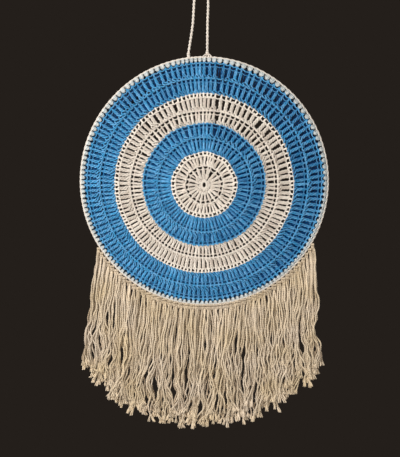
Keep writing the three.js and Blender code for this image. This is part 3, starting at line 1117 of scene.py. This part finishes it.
def knot_loops(knot, slot_width):
    """The loops of a tassel's knot, side by side round the hinge and not quite even, and the paths
    and tones of the same yarn where it goes over the rim."""
    loops = max(2, round(slot_width / (KNOT_PITCH * KNOT_YARN)))
    room = max(slot_width - KNOT_ENDS * KNOT_YARN, KNOT_LEAST_ROOM)
    turn = np.arange(KNOT_STEPS) * FULL_TURN / KNOT_STEPS
    over = np.radians(np.linspace(*ARC_DEG, ARC_STEPS))
    rings, arcs = [], []
    for loop in range(loops):
        x = (loop / (loops - 1) - 0.5) * room
        size = KNOT_RING * rng.uniform(*KNOT_SIZES)
        rings.append(knot + np.stack(
            [x + KNOT_WAVE * np.sin(turn + loop), size * np.cos(turn), size * np.sin(turn)],
            axis=1))
        arcs.append(knot + np.stack(
            [x + KNOT_WAVE * np.sin(over + loop), size * np.cos(over) - ARC_FORWARD,
             ARC_HEIGHT * size * np.sin(over) + ARC_LIFT], axis=1))
    tone = KNOT_TONE + KNOT_TONE_SPREAD * rng.standard_normal((loops, 1))
    knotted = tubes(rings, KNOT_YARN, SIDEWAYS, lay=KNOT_LAY, closed=True, tone=tone)
    return knotted, arcs, tone


def tassel_length(name, knot):
    """From a tassel's knot to where its longest strand may fray; the right-most are longer."""
    low, _ = box_mm(name)
    across = knot[0] - HOOP_CENTRE[0]
    length = knot[2] - low[2] - FRAY_LENGTH - TRIM + TRIM_SLOPE * across
    return length + RIGHT_LONGER * max(0, across / HOOP_RADIUS) ** RIGHT_LONGER_POWER


def make_tassel(name, slot_width, knot, material):
    """A tassel: its knot, its strands and their frayed ends. Gives back the paths and tones of its
    yarn over the rim."""
    length = tassel_length(name, knot)
    least, most = STRANDS_PER_TASSEL
    count = rng.integers(least, most + 1)
    points = int(length / STRAND_STEP)
    aside = rng.uniform(-LANE_JITTER, LANE_JITTER, count)
    lanes = (np.arange(count) + 0.5 + aside) / count - 0.5
    layers = FRINGE_DEPTH * (rng.permutation(count) / (count - 1) * 2 - 1)
    bunch = rng.uniform(*BUNCH)
    fan = rng.uniform(*FAN)
    sway = rng.normal(0, SWAY) * np.linspace(0, 1, points) ** SWAY_POWER
    shared = kinks(TASSEL_KINKS)
    strands, frayed = [], []
    for lane, layer in zip(lanes * slot_width, layers):
        strand_length = length + rng.uniform(*STRAND_SHORTER)
        path = strand_path(knot, lane, layer, bunch, fan, shared, strand_length, points)
        path[:, 0] += sway
        strands.append(path)
        frayed.append(fray(path))
    tone = 1 + STRAND_TONE_SPREAD * rng.standard_normal((count, 1))
    # Painted shade on the strands at the back of a tassel and painted light on those at the front
    tone = tone - BACK_SHADE * layers[:, None] / FRINGE_DEPTH
    # Painted shade deepening along each strand towards its end
    hanging = tubes(strands, FRINGE_YARN, DEPTHWISE, lay=STRAND_LAY, depth=STRAND_PLY_DEPTH,
                    tone=tone * np.linspace(*STRAND_SHADE_TOWARDS_END, points))
    end_tone = FRAY_TONE + FRAY_TONE_SPREAD * rng.standard_normal((count * FRAY_PLIES, 1))
    ends = tubes(np.concatenate(frayed), FRAY_YARN, DEPTHWISE, sides=FRAY_SIDES, tone=end_tone)
    rings, arcs, arc_tones = knot_loops(knot, slot_width)
    yarn_object(f"{name}_yarn", [hanging, ends, rings], material, name, [name])
    return arcs, arc_tones


def make_fringe(material):
    """The tassels, and their yarn over the rim, which holds on to the edging."""
    hinges = {joint["child"]: np.array(joint["pos_m"]) / MM for joint in frame["joints"]}
    names = [f"tassel_{number:02d}" for number in range(1, TASSEL_COUNT + 1)]
    widths = np.gradient([hinges[name][0] for name in names])
    arcs, tones = [], []
    for name, width in zip(names, widths):
        tassel_arcs, tassel_tones = make_tassel(name, width, hinges[name], material)
        arcs.extend(tassel_arcs)
        tones.append(tassel_tones)
    over_rim = tubes(arcs, KNOT_YARN, SIDEWAYS, lay=KNOT_LAY, tone=np.concatenate(tones))
    yarn_object("fringe_loops_yarn", [over_rim], material, "hoop", [])


# Stage and light

def make_floor():
    mesh = bpy.data.meshes.new("floor")
    corners = [(-1, -1), (1, -1), (1, 1), (-1, 1)]
    mesh.from_pydata(
        [(x * FLOOR_HALF * MM, y * FLOOR_HALF * MM, FLOOR_Z * MM) for x, y in corners],
        [], [(0, 1, 2, 3)])
    nodes = Nodes("floor_paint")
    nodes.shader.inputs["Base Color"].default_value = linear(FLOOR_GREY)
    nodes.shader.inputs["Roughness"].default_value = FLOOR_ROUGHNESS
    mesh.materials.append(nodes.material)
    floor = bpy.data.objects.new("floor", mesh)
    bpy.context.collection.objects.link(floor)


def make_lamp(name, place, size, power):
    data = bpy.data.lights.new(name, "AREA")
    data.shape = "DISK"
    data.size = size
    data.energy = power
    lamp = bpy.data.objects.new(name, data)
    lamp.location = place
    aim = Vector(LAMP_AIM) - Vector(place)
    lamp.rotation_euler = aim.to_track_quat("-Z", "Y").to_euler()
    lamp.visible_camera = False
    bpy.context.collection.objects.link(lamp)


def make_world():
    """Soft light from all round; the camera and reflections see a plain dark grey instead."""
    world = bpy.data.worlds.new("studio")
    bpy.context.scene.world = world
    world.use_nodes = True
    tree = world.node_tree
    seen = tree.nodes["Background"]
    seen.inputs["Color"].default_value = linear(BACKGROUND)
    light = tree.nodes.new("ShaderNodeBackground")
    light.inputs["Color"].default_value = WORLD_LIGHT
    light.inputs["Strength"].default_value = WORLD_STRENGTH
    rays = tree.nodes.new("ShaderNodeLightPath")
    first = tree.nodes.new("ShaderNodeMath")
    first.operation = "MAXIMUM"
    second = tree.nodes.new("ShaderNodeMath")
    second.operation = "MAXIMUM"
    mix = tree.nodes.new("ShaderNodeMixShader")
    link = tree.links.new
    link(rays.outputs["Is Camera Ray"], first.inputs[0])
    link(rays.outputs["Is Glossy Ray"], first.inputs[1])
    link(first.outputs[0], second.inputs[0])
    link(rays.outputs["Is Transmission Ray"], second.inputs[1])
    link(second.outputs[0], mix.inputs[0])
    link(light.outputs[0], mix.inputs[1])
    link(seen.outputs[0], mix.inputs[2])
    link(mix.outputs[0], tree.nodes["World Output"].inputs["Surface"])


make_camera()
cord_yarn = yarn_material("cord_cotton", CREAM, CREAM_SHADE, CREAM_PAINTED_SHADE)
make_cord(cord_yarn)
cream_yarn = yarn_material("cream_cotton", CREAM, CREAM_SHADE, CREAM_PAINTED_SHADE)
blue_yarn = yarn_material("blue_cotton", BLUE, BLUE_SHADE, BLUE_PAINTED_SHADE, BLUE_SHEEN, BLUE_GLOSS)
make_web(cream_yarn, blue_yarn)
make_wire(wire_material())
edging_yarn = yarn_material("edging_cotton", EDGING_WHITE, EDGING_SHADE, EDGING_PAINTED_SHADE)
make_edging(edging_yarn, cream_yarn)
make_tie("left", LEFT_TIE_SPREAD, cord_yarn)
make_tie("right", RIGHT_TIE_SPREAD, cord_yarn)
fringe_yarn = yarn_material("fringe_cotton", BEIGE, BEIGE_SHADE, BEIGE_PAINTED_SHADE,
                            patch_scale=FRINGE_PATCH_SCALE)
make_fringe(fringe_yarn)
make_floor()
for lamp_settings in LAMPS:
    make_lamp(*lamp_settings)
make_world()

bpy.context.scene.view_settings.view_transform = "Standard"
